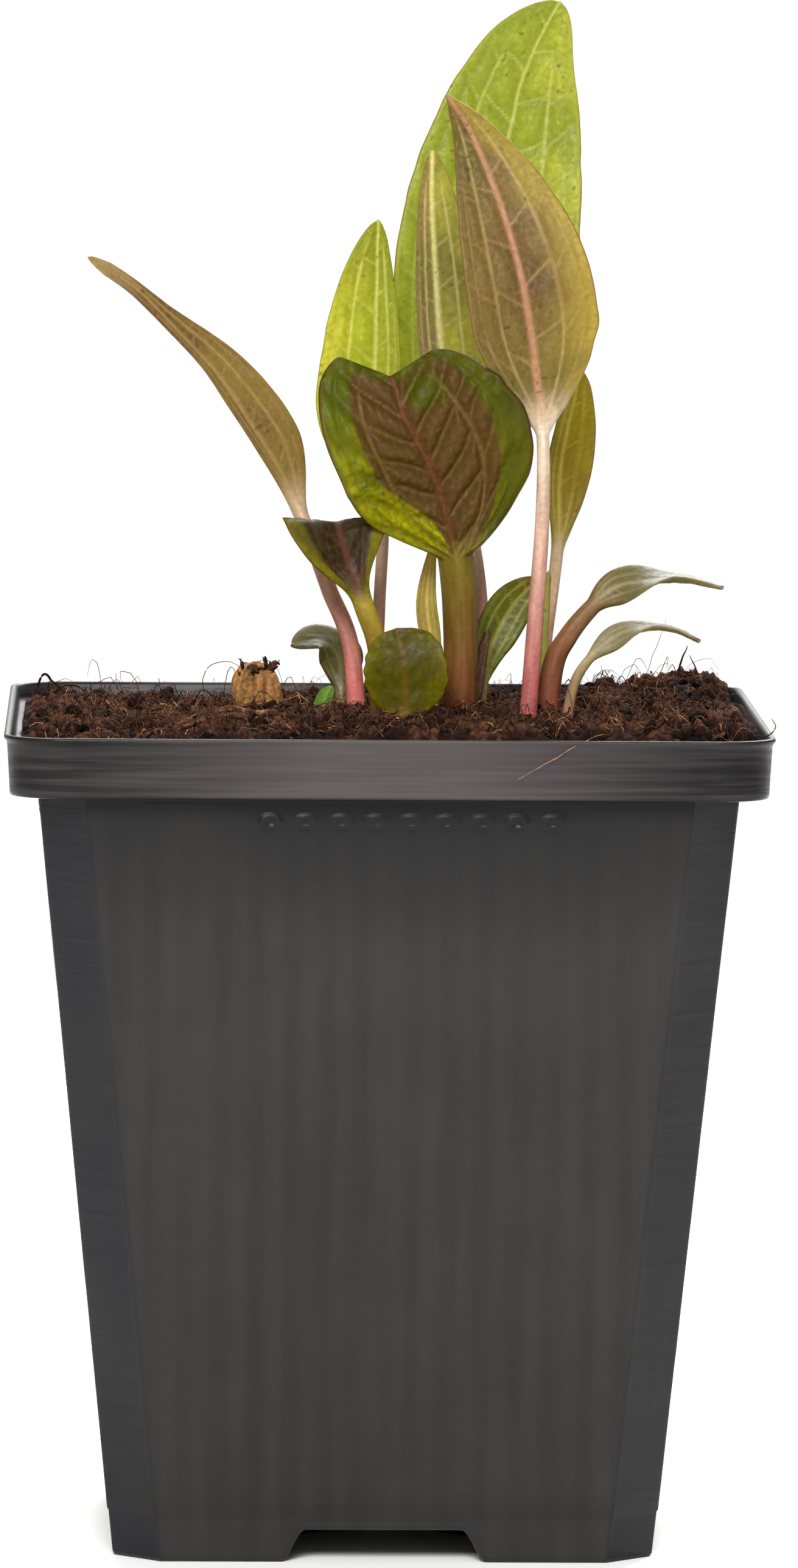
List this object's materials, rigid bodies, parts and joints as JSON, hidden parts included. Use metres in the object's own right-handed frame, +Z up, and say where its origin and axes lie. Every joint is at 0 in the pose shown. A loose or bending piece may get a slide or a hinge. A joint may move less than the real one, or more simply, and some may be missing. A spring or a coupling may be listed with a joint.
{
  "type": "potted coneflower",
  "caption": "Young coneflower plant with upright and arching leaves, growing in peat-based soil in a square tapered plastic nursery pot.",
  "frame": {"origin": "middle of the pot's base, on the surface that it stands on", "axes": "+Z up, +X to the right of the side that faces -Y"},
  "size_m": [0.09, 0.09, 0.1832],
  "materials": {
    "pot_plastic": "moulded satin black plastic",
    "soil": "coarse peat with fibres",
    "green_leaf": "thin translucent leaf, satin",
    "bronze_leaf": "thin translucent leaf, bronze green",
    "dry_sheath": "withered leaf sheath",
    "dry_stem": "dry woody stem",
    "root": "bare root",
    "grain": "coated grain"
  },
  "bodies": {
    "root": {"pot": "pot_plastic", "potting_soil": "soil", "leaf_back_tall": "green_leaf", "leaf_front_tall": "bronze_leaf", "leaf_folded": "bronze_leaf", "leaf_left_tall": "green_leaf", "leaf_round": "bronze_leaf", "leaf_arching_left": "bronze_leaf", "leaf_spoon": "bronze_leaf", "leaf_low_left": "green_leaf", "leaf_front_small": "green_leaf", "leaf_young": "green_leaf", "leaf_small_right": "green_leaf", "leaf_right": "green_leaf", "leaf_arching_right": "bronze_leaf", "leaf_low_right": "bronze_leaf", "leaf_spike": "green_leaf", "withered_sheath": "dry_sheath", "weed_seedling": "green_leaf", "dry_stem_stump": "dry_stem", "surface_root": "root", "fertiliser_grain_1": "grain", "fertiliser_grain_2": "grain"}
  },
  "joints": []
}
